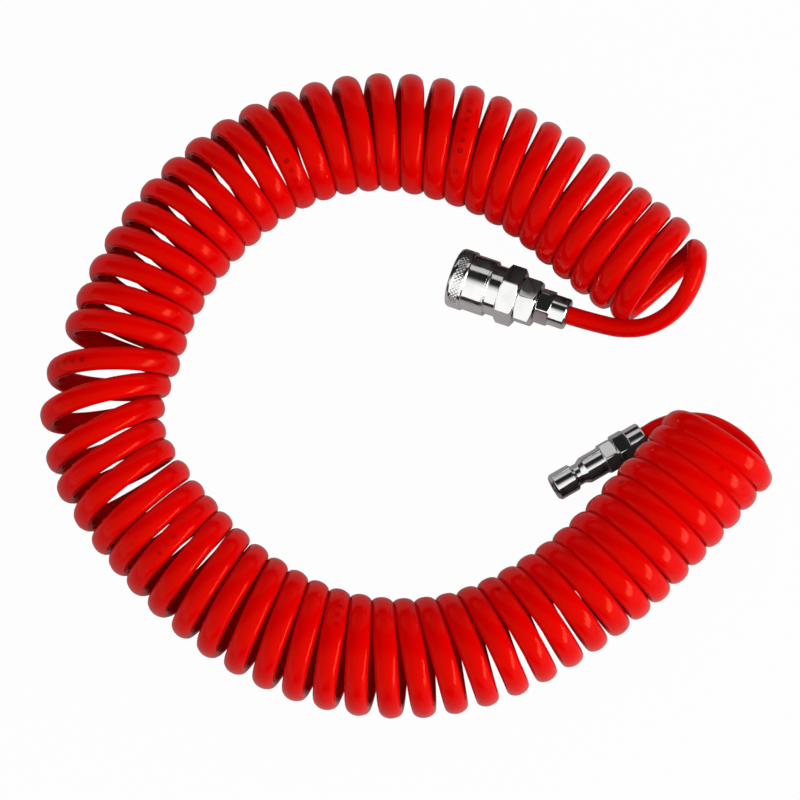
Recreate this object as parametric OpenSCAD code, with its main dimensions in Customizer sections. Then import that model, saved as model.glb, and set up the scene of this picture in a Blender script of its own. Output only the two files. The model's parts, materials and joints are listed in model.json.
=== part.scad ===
// Recoil air hose: a coiled polyurethane tube bent into an open ring, with a
// quick-release socket on one end and its plug on the other.
// Millimetres, +Z up. The origin is the middle of the floor under the whole part.

/* [Hose] */
// Outside diameter of the tube
hose_od = 8; // [6:0.5:10]
// Inside diameter of the tube, which the hose tails fit
hose_id = 5; // [4:0.5:6]
// Outside diameter of the wound coil
coil_od = 49; // [44:1:54]

/* [Socket sleeve] */
// Diameter of the front collar
collar_d = 26.2; // [25.6:0.2:30]
// Length of the front collar
collar_len = 7.4; // [5:0.2:10]
// Diameter of the smooth sleeve behind the collar
sleeve_d = 24.7; // [24.3:0.1:25.4]
// Length of the whole sleeve with its collar
sleeve_len = 17.2; // [16.6:0.2:20]
// How far the sleeve pulls back to let the plug go
sleeve_travel = 4; // [3:0.25:5]
// Rounding of the collar's front edge
collar_round = 1.6; // [0.6:0.2:2]

/* [Socket body] */
// Diameter of the shoulder under the sleeve's skirt
shoulder_d = 22; // [21:0.1:22.6]
// Width across the flats of the body's hexagon
body_flats = 23; // [22.5:0.5:26]
// Length of the body's hexagon
body_hex_len = 8.1; // [7.5:0.1:10]
// Width across the flats of the adapter's hexagon
adapter_flats = 19; // [18.5:0.5:22]
// Length of the adapter's hexagon
adapter_hex_len = 8.1; // [7:0.1:10]
// Diameter of the locking balls
ball_d = 3.5; // [3:0.1:3.8]
// Distance of the ball row behind the mouth
ball_row_z = 7; // [6.6:0.1:7.2]
// How far a ball reaches into the mouth when it is locked
ball_bite = 1.05; // [0.8:0.05:1.2]

/* [Socket valve] */
// Outside diameter of the valve's tube
valve_tube_d = 10.4; // [9.4:0.1:10.8]
// Wall of the valve's tube
valve_wall = 1.3; // [0.9:0.1:1.6]
// Width of the rim of the valve's head, around the tube
valve_rim = 1; // [0.8:0.1:1.4]
// How far a plug pushes the valve open
valve_travel = 4; // [3:0.25:4.5]
// Wire of the valve spring
valve_wire_d = 0.9; // [0.7:0.05:1]
// Wire of the sleeve spring
sleeve_wire_d = 0.9; // [0.7:0.05:0.95]

/* [Plug] */
// Diameter of the plug's nose
nose_d = 12; // [11.4:0.1:12.4]
// Length of the nose in front of the locking groove
nose_len = 9.6; // [8:0.1:11]
// Diameter at the bottom of the locking groove
groove_d = 9.4; // [9:0.1:9.8]
// Width of the bottom of the locking groove
groove_len = 2.4; // [1.8:0.1:3]
// Air way through the nose
nose_bore_d = 7.2; // [6:0.1:7.6]
// Length of the round body behind the groove
plug_body_len = 9; // [7:0.2:12]
// Width across the flats of the plug's hexagon
plug_flats = 13; // [13:0.5:15]
// Length of the plug's hexagon
plug_hex_len = 6.2; // [5:0.1:8]

/* [Hose nuts] */
// Width across the flats of both hose nuts
nut_flats = 14; // [14:0.5:16]
// Length of a nut's hexagon
nut_hex_len = 6.4; // [5.8:0.1:8]
// Diameter of a nut's round tail
nut_tail_d = 13.6; // [12.6:0.1:13.8]
// Length of a nut's round tail
nut_tail_len = 7.2; // [6:0.1:9]
// Diameter of the thread that a nut screws on
nut_thread_d = 11.2; // [10.6:0.1:11.6]

/* [Hidden] */
$fn = 64;

// --- clearances and small features -------------------------------------------
running = 0.05;         // radial gap of a sliding or turning fit
thread_gap = 0.1;       // radial gap of a plain-modelled thread
seat_gap = 0.1;         // face gap between a moving piece and its stop
edge = 0.6;             // chamfer on hexagons and turned edges
nut_gap = 0.3;          // gap between a hexagon and the nut behind it
stop_gap = 0.9;         // left between the sleeve and the hexagon when pulled
flat_bite = 0.1;        // how far the turned ends of a hexagon cut into its flats
nose_cone = 1.2;        // length of the slope into the plug's locking groove
seal_gap = 0.03;        // radial gap of a seal in the bore it lies in
spring_gap = 0.05;      // gap at each end of a fitted spring
seam = 0.01;            // overlap of two cuts that meet
clear = 1;              // how far a cut runs out past the face it opens

// --- sleeve and barrel, along the socket's axis from the mouth ---------------
nose_r = nose_d / 2;
mouth_r = nose_r + running;
barrel_r = mouth_r + ball_d - ball_bite + running;
shoulder_r = shoulder_d / 2;
barrel_front = 0.4;     // the barrel stands this far inside the sleeve's lip
ring_front = 1;         // snap ring's front face
ring_thick = 0.9;       // snap ring's thickness
ring_depth = 0.45;      // how deep the snap ring sits in the barrel
ring_stand = 0.25;      // how far the snap ring overlaps the sleeve's shoulder
lip_gap = 0.2;          // radial gap around the snap ring, inside the lip
land_len = 1.95;        // cylindrical land behind the ball row
skirt_lap = 1.2;        // how far the body's shoulder reaches into the sleeve's skirt
barrel_chamfer = 0.3;
ring_side = 0.02;       // clearance of the snap ring in its groove
ring_split = 1.5;       // width of the snap ring's slit
land_r = barrel_r + running + ring_side;
cone_back = ball_row_z + running;
cone_front = ring_front + ring_thick + seat_gap;
cone_slope = ball_bite / sleeve_travel;
cone_r = land_r + cone_slope * (cone_back - cone_front);
ring_r = cone_r + ring_stand;
lip_r = ring_r + lip_gap;
land_back = cone_back + land_len;
skirt_r = shoulder_r + running;
hex_front = sleeve_len + sleeve_travel + stop_gap;
shoulder_front = sleeve_len - skirt_lap;
sleeve_spring_turns = 2.5;
collar_step = 0.5;      // slope behind the collar

// --- balls -------------------------------------------------------------------
ball_count = 6;
ball_r = ball_d / 2;
ball_hole_r = ball_r + running;
ball_centre_r = barrel_r - running - ball_r;
ball_relief = 0.3;      // radial relief of the bore along the ball row
ball_relief_side = 0.4; // how far the relief runs past the ball holes
ball_relief_len = 2 * (ball_hole_r + ball_relief_side);

// --- body's inside -----------------------------------------------------------
mouth_chamfer = 0.7;
groove_side = 0.1;      // side gap of a seal in its groove
packing_len = 3.4;
packing_wall = 1.55;    // radial depth of the packing's groove
packing_squeeze = 0.2;  // the packing's lip stands this far into the bore
packing_web = 1.6;      // metal between the ball row and the packing's groove
packing_lip = 0.5;      // radial thickness of the packing's two lips
packing_hollow = 1.5;   // depth of the hollow between the lips
seat_gap_r = 0.15;      // radial gap between the valve's tube and its seat
seat_len = 1.9;
plug_room = 0.4;        // space behind the tip of a plug that is locked in
valve_lip = 0.9;        // seal ring's thickness
valve_head_len = 1.6;
valve_boss_len = 1.5;   // boss behind the head that centres the spring
valve_boss_step = 1.4;  // how much narrower the boss is than the tube
valve_window_r = 1.3;
valve_floor = 0.4;      // metal in front of the head
valve_spring_step = 0.2;    // the spring's ring is this much narrower than the tube
valve_spring_turns = 4.5;
packing_front = ball_row_z + ball_relief_len / 2 + packing_web;
packing_back = packing_front + packing_len;
plug_stop = ball_row_z + nose_len + nose_cone + groove_len / 2;
valve_front = plug_stop - valve_travel;
seat_back = plug_stop + plug_room + seat_len;
seat_r = valve_tube_d / 2 + seat_gap_r;
seal_front = seat_back + seat_gap / 2;
head_front = seat_back + seat_gap + valve_lip;
head_back = head_front + valve_head_len;
chamber_r = 7.6;
hex_back = hex_front + body_hex_len;
spigot_r = 8.6;
spigot_len = 4;
spigot_front = hex_back - spigot_len;
spigot_bore_r = 7;
adapter_back = hex_back + adapter_hex_len;
spring_seat_depth = 3.3;    // the valve spring's seat behind the body's hexagon
spring_seat = hex_back + spring_seat_depth;
spigot_chamfer = 0.4;
spigot_gap = 0.2;       // gap between the adapter's end and the chamber's step
oring_r = 0.55;
oring_ring_r = spigot_r + thread_gap - oring_r - seal_gap;
oring_inset = 1;        // the seal's middle in front of the body's back face
oring_z = hex_back - oring_inset;
oring_groove = oring_r + groove_side;

// --- hose end, shared by the socket's adapter and the plug ------------------
thread_len = 5.2;
hose_start = 6;         // the tube's end behind the hexagon's face
barb_len = 13;          // end of the barbed tail behind the hexagon's face
barb_r = hose_id / 2 + 0.2;
barb_rise = 0.25;
barb_start = 1.5;       // first barb behind the thread
barb_pitch = 2;
barb_end_taper = 0.3;
airway_r = hose_id / 2 - 0.8;
nut_back = nut_gap + nut_hex_len + nut_tail_len;
nut_hose_gap = 0.15;    // radial gap of the tube in the nut's tail
nut_hose_r = hose_od / 2 + nut_hose_gap;
nut_cone_len = 1.6;     // cone inside the nut that grips the tube
nut_lead = 2;           // how far the tube runs straight out of the nut

// --- plug, along its axis from the tip ---------------------------------------
tip_chamfer = 1;
groove_exit = 2.4;      // length of the slope out of the groove
plug_hex_front = nose_len + nose_cone + groove_len + groove_exit + plug_body_len;
plug_hex_back = plug_hex_front + plug_hex_len;
nose_bore_len = 12;

// --- how everything lies, about the centre of the ring ----------------------
ring_centre = [-7.5, -2.75, 0];
mouth_at = [27.7, 54.4, 13];    // middle of the socket's mouth
socket_heading = -20.7;         // the way from the mouth to the hose, in plan
socket_rise = 8;                // the hose end lies higher than the mouth
tip_at = [70, -37.2, 8.3];      // middle of the plug's tip
plug_heading = 30;
body_hex_turn = -11;
adapter_hex_turn = 5.5;
nut_hex_turn = 26;
plug_hex_turn = 9;
plug_nut_turn = 14;

// Centre line of the coil: [angle, radius] about the centre of the ring.
coil_route = [
    [22, 124.5], [27, 121.5], [32, 119], [38, 116], [45, 113.5], [55, 112.5],
    [65, 113.5], [77, 115], [90, 116], [105, 116], [125, 115], [148, 114.5],
    [162, 115.5], [171, 118], [179, 121.5], [187, 122], [194, 120], [201, 116.5],
    [209, 113], [220, 110], [235, 109], [252, 109.5], [270, 110.5], [288, 111.5],
    [302, 112.5], [313, 114], [322, 117], [330, 120.5], [337, 125], [343, 131],
    [348, 136.5], [352, 141.5]
];
// Free end between the socket and the coil, about the centre of the ring.
socket_tail_route = [
    [90, 31.7, 22], [99, 30, 24], [108.5, 30.2, 28], [116, 32.5, 33],
    [122, 36.7, 38], [126.5, 42.5, 41.5], [129, 48.5, 42.5], [130.6, 54.8, 40],
    [131.4, 60.5, 34], [131.6, 63.4, 25], [130, 64, 16]
];
// Free end between the plug and the coil, about the centre of the ring.
plug_tail_route = [
    [115, -11.5, 7.6], [122, -9, 6], [129.5, -7.7, 4.8], [137.2, -8.3, 4.2],
    [145, -11.4, 4.6], [151.3, -16.4, 7.2], [155.5, -22.3, 11.5],
    [157.4, -28.6, 17.5], [157, -33.5, 24.5], [154, -35.5, 33]
];
coil_sides = 24;
tail_sides = 12;
coil_steps = 2;         // rings between two points of the coil's centre line
tail_steps = 3;         // rings between two points of a tail's route

// --- sweeping along a route ---------------------------------------------------
function unit(v) = v / norm(v);
function spline(a, b, c, d, t) =
    0.5 * (2 * b + (c - a) * t + (2 * a - 5 * b + 4 * c - d) * t * t
        + (3 * b - a - 3 * c + d) * t * t * t);
function clamped(route, i) = route[min(max(i, 0), len(route) - 1)];
// A smooth line through every point of a route.
function smooth(route, steps) = [
    for (i = [0 : len(route) - 2], k = [0 : steps - 1])
        spline(clamped(route, i - 1), route[i], route[i + 1],
            clamped(route, i + 2), k / steps),
    route[len(route) - 1]
];
function tangents(path) = [
    for (i = [0 : len(path) - 1])
        unit(clamped(path, i + 1) - clamped(path, i - 1))
];
function square_to(v, t) = unit(v - (v * t) * t);
// Normals that turn no more than the path does.
function normals(along, first) = [
    for (i = 0, n = square_to(first, along[0]); i < len(along);
        n = i + 1 < len(along) ? square_to(n, along[i + 1]) : n, i = i + 1) n
];

module swept_tube(path, radius, sides) {
    along = tangents(path);
    up = normals(along, [0, 0, 1]);
    rings = len(path);
    points = [
        for (i = [0 : rings - 1], k = [0 : sides - 1])
            let (a = 360 * k / sides)
                path[i] + radius * (cos(a) * up[i] + sin(a) * cross(along[i], up[i]))
    ];
    walls = [
        for (i = [0 : rings - 2], k = [0 : sides - 1])
            let (p = i * sides + k, q = i * sides + (k + 1) % sides)
                each [[p, p + sides, q], [q, p + sides, q + sides]]
    ];
    polyhedron(points, concat(walls,
        [[for (k = [0 : sides - 1]) k]],
        [[for (k = [sides - 1 : -1 : 0]) (rings - 1) * sides + k]]));
}

// --- placing ------------------------------------------------------------------
function heading(turn, rise) =
    [cos(rise) * cos(turn), cos(rise) * sin(turn), sin(rise)];
function on_socket(z) = mouth_at + z * heading(socket_heading, socket_rise);
function on_plug(z) = tip_at + z * heading(plug_heading, 0);
module on_ring() translate(ring_centre) children();
module at_socket()
    on_ring() translate(mouth_at) rotate([0, 90 - socket_rise, socket_heading]) children();
module at_plug()
    on_ring() translate(tip_at) rotate([0, 90, plug_heading]) children();

// --- turned and milled shapes ------------------------------------------------
// A solid of revolution between a front and a back face: [[z, r], ...].
module turned(outline)
    rotate_extrude() polygon([
        [0, outline[0][0]],
        for (p = outline) [p[1], p[0]],
        [0, outline[len(outline) - 1][0]]
    ]);

module bored(front, back, radius)
    translate([0, 0, front]) cylinder(h = back - front, r = radius);

// A hexagon between two heights, with the corners of both ends turned off.
module hexagon(front, back, flats, turn) {
    corner = flats / sqrt(3);
    intersection() {
        translate([0, 0, front]) rotate(turn) cylinder(h = back - front, r = corner, $fn = 6);
        turned([
            [front, flats / 2 - flat_bite], [front + edge, corner - flat_bite],
            [back - edge, corner - flat_bite], [back, flats / 2 - flat_bite]
        ]);
    }
}

// The nut's thread and the barbed tail behind a hexagon's face.
module hose_end(face) {
    first = face + thread_len + barb_start;
    barbs = [
        for (k = [0 : 2]) each [
            [first + barb_pitch * k, barb_r],
            [first + barb_pitch * k, barb_r + barb_rise],
            [first + barb_pitch * (k + 1), barb_r]
        ]
    ];
    turned(concat(
        [[face - edge, nut_thread_d / 2], [face + thread_len - edge, nut_thread_d / 2],
         [face + thread_len, nut_thread_d / 2 - edge], [face + thread_len, barb_r]],
        barbs, [[face + barb_len, barb_r - barb_end_taper]]));
}

module hose_nut(face, turn) {
    front = face + nut_gap;
    hex_end = front + nut_hex_len;
    back = face + nut_back;
    difference() {
        union() {
            hexagon(front, hex_end, nut_flats, turn);
            turned([[hex_end - edge, nut_tail_d / 2], [back - edge, nut_tail_d / 2],
                [back, nut_tail_d / 2 - edge]]);
        }
        bored(front - clear, face + hose_start, nut_thread_d / 2 + thread_gap);
        turned([[face + hose_start - seam, nut_thread_d / 2 + thread_gap],
            [face + hose_start + nut_cone_len, nut_hose_r]]);
        bored(face + hose_start, back + clear, nut_hose_r);
    }
}

// A spring of round wire along Z, between two seats.
module coil_spring(front, back, ring_r, wire_d, turns) {
    length = back - front - wire_d;
    steps = 14;
    path = [
        for (i = [0 : turns * steps])
            let (a = 360 * i / steps)
                [ring_r * cos(a), ring_r * sin(a), front + wire_d / 2 + length * i / (turns * steps)]
    ];
    swept_tube(path, wire_d / 2, 8);
}

// --- the hose ------------------------------------------------------------------
module hose_coil() {
    centre_line = [
        for (p = coil_route) [p[1] * cos(p[0]), p[1] * sin(p[0]), coil_od / 2]
    ];
    color("red") on_ring()
        swept_tube(smooth(centre_line, coil_steps), coil_od / 2, coil_sides);
}

module socket_tail() {
    ends = [on_socket(adapter_back + hose_start), on_socket(adapter_back + nut_back + nut_lead)];
    color("red") on_ring()
        swept_tube(smooth(concat(ends, socket_tail_route), tail_steps), hose_od / 2, tail_sides);
}

module plug_tail() {
    ends = [on_plug(plug_hex_back + hose_start), on_plug(plug_hex_back + nut_back + nut_lead)];
    color("red") on_ring()
        swept_tube(smooth(concat(ends, plug_tail_route), tail_steps), hose_od / 2, tail_sides);
}

// --- the socket ----------------------------------------------------------------
module socket_sleeve() {
    collar_r = collar_d / 2;
    sleeve_r = sleeve_d / 2;
    rounding = [
        for (a = [0 : 18 : 90])
            [collar_round * (1 - sin(a)), collar_r - collar_round * (1 - cos(a))]
    ];
    rounded = [for (i = [len(rounding) - 1 : -1 : 0]) rounding[i]];
    color("silver") at_socket() difference() {
        turned(concat(rounded, [
            [collar_len - collar_step, collar_r], [collar_len, sleeve_r],
            [sleeve_len - edge, sleeve_r], [sleeve_len, sleeve_r - edge]
        ]));
        bored(-clear, cone_front, lip_r);
        turned([[cone_front - seam, cone_r], [cone_back, land_r], [cone_back + seam, land_r]]);
        bored(cone_back, land_back + seam, land_r);
        bored(land_back, sleeve_len + clear, skirt_r);
    }
}

module sleeve_snap_ring()
    color("dimgray") at_socket() difference() {
        bored(ring_front, ring_front + ring_thick, ring_r);
        bored(ring_front - clear, ring_front + ring_thick + clear, barrel_r - ring_depth);
        // The ring is split, so that it springs over the barrel.
        translate([0, -ring_split / 2, 0])
            cube([ring_r + clear, ring_split, ring_front + ring_thick + clear]);
    }

module sleeve_spring()
    color("gray") at_socket()
        coil_spring(land_back + spring_gap, shoulder_front - spring_gap,
            (barrel_r + skirt_r) / 2, sleeve_wire_d, sleeve_spring_turns);

module locking_ball(i)
    color("lightgray") at_socket()
        rotate(360 * (i - 1) / ball_count) translate([ball_centre_r, 0, ball_row_z]) sphere(r = ball_r);

module socket_body()
    color("silver") at_socket() difference() {
        union() {
            turned([
                [barrel_front, barrel_r - barrel_chamfer],
                [barrel_front + barrel_chamfer, barrel_r],
                [shoulder_front, barrel_r], [shoulder_front, shoulder_r],
                [hex_front + edge, shoulder_r]
            ]);
            hexagon(hex_front, hex_back, body_flats, body_hex_turn);
        }
        // snap ring's groove
        difference() {
            bored(ring_front - ring_side, ring_front + ring_thick + ring_side,
                barrel_r + clear);
            bored(ring_front - clear, ring_front + ring_thick + clear,
                barrel_r - ring_depth - ring_side);
        }
        // mouth
        turned([[barrel_front - seam, mouth_r + mouth_chamfer],
            [barrel_front + mouth_chamfer, mouth_r]]);
        bored(barrel_front, seat_back - seat_len, mouth_r);
        bored(ball_row_z - ball_relief_len / 2, ball_row_z + ball_relief_len / 2,
            mouth_r + ball_relief);
        for (i = [1 : ball_count])
            rotate(360 * (i - 1) / ball_count) translate([0, 0, ball_row_z]) rotate([0, 90, 0])
                bored(mouth_r - clear, barrel_r + clear, ball_hole_r);
        bored(packing_front, packing_back, mouth_r + packing_wall);
        // valve's seat and chamber, and the adapter's thread
        bored(seat_back - seat_len - clear, seat_back + clear, seat_r);
        bored(seat_back, spigot_front, chamber_r);
        bored(spigot_front - spigot_gap, hex_back + clear, spigot_r + thread_gap);
    }

module plug_packing()
    color("black") at_socket() difference() {
        bored(packing_front + groove_side, packing_back - groove_side,
            mouth_r + packing_wall - seal_gap);
        bored(packing_front - clear, packing_back + clear, mouth_r - packing_squeeze);
        // the lip's hollow, open towards the air pressure
        difference() {
            bored(packing_back - packing_hollow, packing_back + clear,
                mouth_r + packing_wall - packing_lip);
            bored(packing_front, packing_back + 2 * clear, mouth_r + packing_lip);
        }
    }

module poppet_valve() {
    tube_r = valve_tube_d / 2;
    head_r = tube_r + valve_rim;
    window_z = head_front - valve_floor - valve_window_r - valve_lip;
    color("gold") at_socket() difference() {
        turned([
            [valve_front, tube_r], [head_front, tube_r], [head_front, head_r],
            [head_back, head_r], [head_back, tube_r - valve_boss_step],
            [head_back + valve_boss_len, tube_r - valve_boss_step]
        ]);
        bored(valve_front - clear, head_front - valve_floor, tube_r - valve_wall);
        // four windows that let the air past the seat once the valve is pushed
        for (a = [45 : 90 : 315])
            rotate(a) translate([0, 0, window_z]) rotate([0, 90, 0])
                bored(tube_r - valve_wall - clear, tube_r + clear, valve_window_r);
    }
}

module valve_seal()
    color("black") at_socket() difference() {
        bored(seal_front, seal_front + valve_lip,
            valve_tube_d / 2 + valve_rim - groove_side);
        bored(seat_back - clear, head_front + clear, valve_tube_d / 2 + seal_gap);
    }

module valve_spring()
    color("gray") at_socket()
        coil_spring(head_back + spring_gap, spring_seat - spring_gap,
            valve_tube_d / 2 - valve_spring_step, valve_wire_d, valve_spring_turns);

module rear_adapter()
    color("silver") at_socket() difference() {
        union() {
            turned([
                [spigot_front, spigot_r - spigot_chamfer],
                [spigot_front + spigot_chamfer, spigot_r],
                [oring_z - oring_groove, spigot_r],
                [oring_z - oring_groove, oring_ring_r - oring_r - seal_gap],
                [oring_z + oring_groove, oring_ring_r - oring_r - seal_gap],
                [oring_z + oring_groove, spigot_r], [hex_back + clear, spigot_r]
            ]);
            hexagon(hex_back, adapter_back, adapter_flats, adapter_hex_turn);
            hose_end(adapter_back);
        }
        bored(spigot_front - clear, spring_seat, spigot_bore_r);
        bored(spring_seat - clear, adapter_back + barb_len + clear, airway_r);
    }

module adapter_seal()
    color("black") at_socket() translate([0, 0, oring_z])
        rotate_extrude() translate([oring_ring_r, 0]) circle(r = oring_r, $fn = 32);

module socket_hose_nut()
    color("silver") at_socket() hose_nut(adapter_back, nut_hex_turn);

// --- the plug ------------------------------------------------------------------
module plug_body() {
    groove_front = nose_len + nose_cone;
    groove_back = groove_front + groove_len;
    color("silver") at_plug() difference() {
        union() {
            turned([
                [0, nose_r - tip_chamfer], [tip_chamfer, nose_r], [nose_len, nose_r],
                [groove_front, groove_d / 2], [groove_back, groove_d / 2],
                [groove_back + groove_exit, nose_r], [plug_hex_front + edge, nose_r]
            ]);
            hexagon(plug_hex_front, plug_hex_back, plug_flats, plug_hex_turn);
            hose_end(plug_hex_back);
        }
        bored(-clear, nose_bore_len, nose_bore_d / 2);
        bored(nose_bore_len - clear, plug_hex_back + barb_len + clear, airway_r);
    }
}

module plug_hose_nut()
    color("silver") at_plug() hose_nut(plug_hex_back, plug_nut_turn);

hose_coil();
socket_tail();
plug_tail();
socket_sleeve();
sleeve_snap_ring();
sleeve_spring();
for (i = [1 : ball_count]) locking_ball(i);
socket_body();
plug_packing();
poppet_valve();
valve_seal();
valve_spring();
rear_adapter();
adapter_seal();
socket_hose_nut();
plug_body();
plug_hose_nut();
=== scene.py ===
"""The looks of a recoil air hose: one polyurethane tube and its two quick couplings.

Lengths of the hose and the studio are in metres. The couplings are turned on their
own axes in millimetres and brought to metres when their meshes are made.
"""

from __future__ import annotations

import json
import logging
import math
from collections.abc import Callable, Sequence
from dataclasses import dataclass, field, replace
from enum import Enum

import bmesh
import bpy
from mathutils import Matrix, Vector

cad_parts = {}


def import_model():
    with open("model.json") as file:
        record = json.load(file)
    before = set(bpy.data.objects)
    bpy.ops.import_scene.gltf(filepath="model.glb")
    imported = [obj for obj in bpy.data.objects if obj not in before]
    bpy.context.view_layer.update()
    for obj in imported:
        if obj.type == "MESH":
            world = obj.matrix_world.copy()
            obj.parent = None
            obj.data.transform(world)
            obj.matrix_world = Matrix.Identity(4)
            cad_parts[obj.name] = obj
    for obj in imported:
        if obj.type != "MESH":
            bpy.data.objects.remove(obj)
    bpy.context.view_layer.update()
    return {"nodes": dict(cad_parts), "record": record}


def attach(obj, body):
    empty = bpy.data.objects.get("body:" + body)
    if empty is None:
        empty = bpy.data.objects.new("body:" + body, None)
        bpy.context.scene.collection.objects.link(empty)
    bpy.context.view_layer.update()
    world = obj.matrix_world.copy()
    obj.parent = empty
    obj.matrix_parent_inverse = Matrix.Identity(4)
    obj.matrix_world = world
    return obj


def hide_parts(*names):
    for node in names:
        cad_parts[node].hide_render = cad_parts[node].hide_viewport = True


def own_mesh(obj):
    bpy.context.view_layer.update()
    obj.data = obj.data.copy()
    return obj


log = logging.getLogger("recoil_hose")

MM = 0.001
WHITE = (1.0, 1.0, 1.0, 1.0)
UP = Vector((0, 0, 1))

Colour = tuple[float, float, float, float]
Triple = tuple[float, float, float]
Value = "float | Sequence[float] | Wire"


# --- Shader maths ------------------------------------------------------------------


class Wire:
    """The output of a node, which Python's operators work on."""

    def __init__(self, web: Web, socket: bpy.types.NodeSocket) -> None:
        """Wraps one output socket of a node in the given web."""
        self.web = web
        self.socket = socket

    def _maths(self, operation: str, left: Value, right: Value) -> Wire:
        """Adds a Math node, or a Vector Math node where this wire carries a vector."""
        kind = "ShaderNodeMath" if self.socket.type == "VALUE" else "ShaderNodeVectorMath"
        return self.web.add(kind, {"operation": operation}, {0: left, 1: right})

    def __add__(self, other: Value) -> Wire:
        """self + other."""
        return self._maths("ADD", self, other)

    __radd__ = __add__

    def __sub__(self, other: Value) -> Wire:
        """self - other."""
        return self._maths("SUBTRACT", self, other)

    def __rsub__(self, other: Value) -> Wire:
        """other - self."""
        return self._maths("SUBTRACT", other, self)

    def __mul__(self, other: Value) -> Wire:
        """self * other."""
        return self._maths("MULTIPLY", self, other)

    __rmul__ = __mul__

    def __truediv__(self, other: Value) -> Wire:
        """self / other."""
        return self._maths("DIVIDE", self, other)

    def __rtruediv__(self, other: Value) -> Wire:
        """other / self."""
        return self._maths("DIVIDE", other, self)

    def __mod__(self, other: Value) -> Wire:
        """What is left of self after whole steps of other."""
        return self._maths("FLOORED_MODULO", self, other)

    def __rmod__(self, other: Value) -> Wire:
        """What is left of other after whole steps of self."""
        return self._maths("FLOORED_MODULO", other, self)

    def __lt__(self, other: Value) -> Wire:
        """1 where self is below other."""
        return self._maths("LESS_THAN", self, other)

    def __gt__(self, other: Value) -> Wire:
        """1 where self is above other."""
        return self._maths("GREATER_THAN", self, other)

    def dot(self, direction: Sequence[float]) -> Wire:
        """How far this vector reaches along a direction."""
        return self.web.add(
            "ShaderNodeVectorMath", {"operation": "DOT_PRODUCT"}, {0: self, 1: direction}, out=1
        )

    def step(self, low: float, high: float) -> Wire:
        """0 below low, 1 above high, and a smooth rise between them."""
        smooth = {"interpolation_type": "SMOOTHSTEP"}
        return self.web.add("ShaderNodeMapRange", smooth, {0: self, 1: low, 2: high})

    def ramp(self, *stops: tuple[float, Sequence[float]]) -> Wire:
        """The colour that a ramp gives this value.

        Args:
            stops: Places on the ramp, each with its colour.

        Returns:
            The ramp's colour.
        """
        return self.web.add("ShaderNodeValToRGB", {"stops": stops}, {0: self})

    def beside(self, out: int | str) -> Wire:
        """Another output of the same node."""
        return Wire(self.web, self.socket.node.outputs[out])


class Web:
    """The nodes of one material, or of the world."""

    def __init__(self, tree: bpy.types.NodeTree) -> None:
        """Empties the tree and keeps it."""
        self.tree = tree
        tree.nodes.clear()

    def add(
        self,
        kind: str,
        settings: dict[str, object] | None = None,
        sockets: dict[int | str, Value] | None = None,
        out: int | str = 0,
    ) -> Wire:
        """Adds any node.

        Args:
            kind: The node's type.
            settings: Its own settings, which are made first. "stops" fills a ramp.
            sockets: Values or wires for its inputs, by name or number.
            out: The output that is wanted.

        Returns:
            That output.
        """
        node = self.tree.nodes.new(kind)
        for name, value in (settings or {}).items():
            if name == "stops":
                self._fill_ramp(node.color_ramp, value)
            else:
                setattr(node, name, value)
        for key, value in (sockets or {}).items():
            if isinstance(value, Wire):
                self.tree.links.new(value.socket, node.inputs[key])
            else:
                node.inputs[key].default_value = value
        return Wire(self, node.outputs[out] if len(node.outputs) else None)

    @staticmethod
    def _fill_ramp(ramp: bpy.types.ColorRamp, stops: Sequence) -> None:
        """Gives a ramp its stops.

        Args:
            ramp: The ramp of a new node.
            stops: Places on it, each with its colour.
        """
        while len(ramp.elements) < len(stops):
            ramp.elements.new(1.0)
        for element, (place, colour) in zip(ramp.elements, stops):
            element.position = place
            element.color = colour

    def blend(self, share: Value, first: Value, second: Value) -> Wire:
        """The first colour where share is 0 and the second where it is 1."""
        return self.add(
            "ShaderNodeMix", {"data_type": "RGBA"}, {0: share, 6: first, 7: second}, out=2
        )

    def noise(self, place: Wire, scale: float, detail: float = 2.0) -> Wire:
        """Even noise from 0 to 1, at so many waves per metre of place."""
        return self.add(
            "ShaderNodeTexNoise", None, {"Vector": place, "Scale": scale, "Detail": detail}
        )

    def place(self) -> Wire:
        """Where a point is on the piece, in metres."""
        return self.add("ShaderNodeTexCoord", out="Object")

    def vector(self, x: Value, y: Value = 0.0) -> Wire:
        """A vector of x and y, with no z."""
        return self.add("ShaderNodeCombineXYZ", None, {0: x, 1: y})

    def seen(self) -> Wire:
        """1 for rays that reach the camera, past clear things too, and 0 for others."""
        direct = self.add("ShaderNodeLightPath", out="Is Camera Ray")
        return direct + direct.beside("Is Transmission Ray")

    def bump(self, height: Wire, depth: float, normal: Wire | None = None) -> Wire:
        """A normal that follows a height.

        Args:
            height: The height, from 0 to 1.
            depth: How many metres a height of 1 stands out.
            normal: A normal to add it to.

        Returns:
            The new normal.
        """
        sockets = {"Height": height, "Strength": 1.0, "Distance": depth}
        if normal is not None:
            sockets["Normal"] = normal
        return self.add("ShaderNodeBump", None, sockets)

    def principled(self, sockets: dict[int | str, Value]) -> Wire:
        """A Principled surface with these values and wires."""
        return self.add("ShaderNodeBsdfPrincipled", None, sockets)

    def finish(self, surface: Wire, kind: str = "ShaderNodeOutputMaterial") -> None:
        """Joins the surface to the output node of that kind."""
        self.add(kind, None, {"Surface": surface})


def new_material(name: str) -> tuple[bpy.types.Material, Web]:
    """Makes a material.

    Args:
        name: Its name.

    Returns:
        The material and the empty web of its nodes.
    """
    material = bpy.data.materials.new(name)
    material.use_nodes = True
    return material, Web(material.node_tree)


# --- Finishes ----------------------------------------------------------------------


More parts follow.
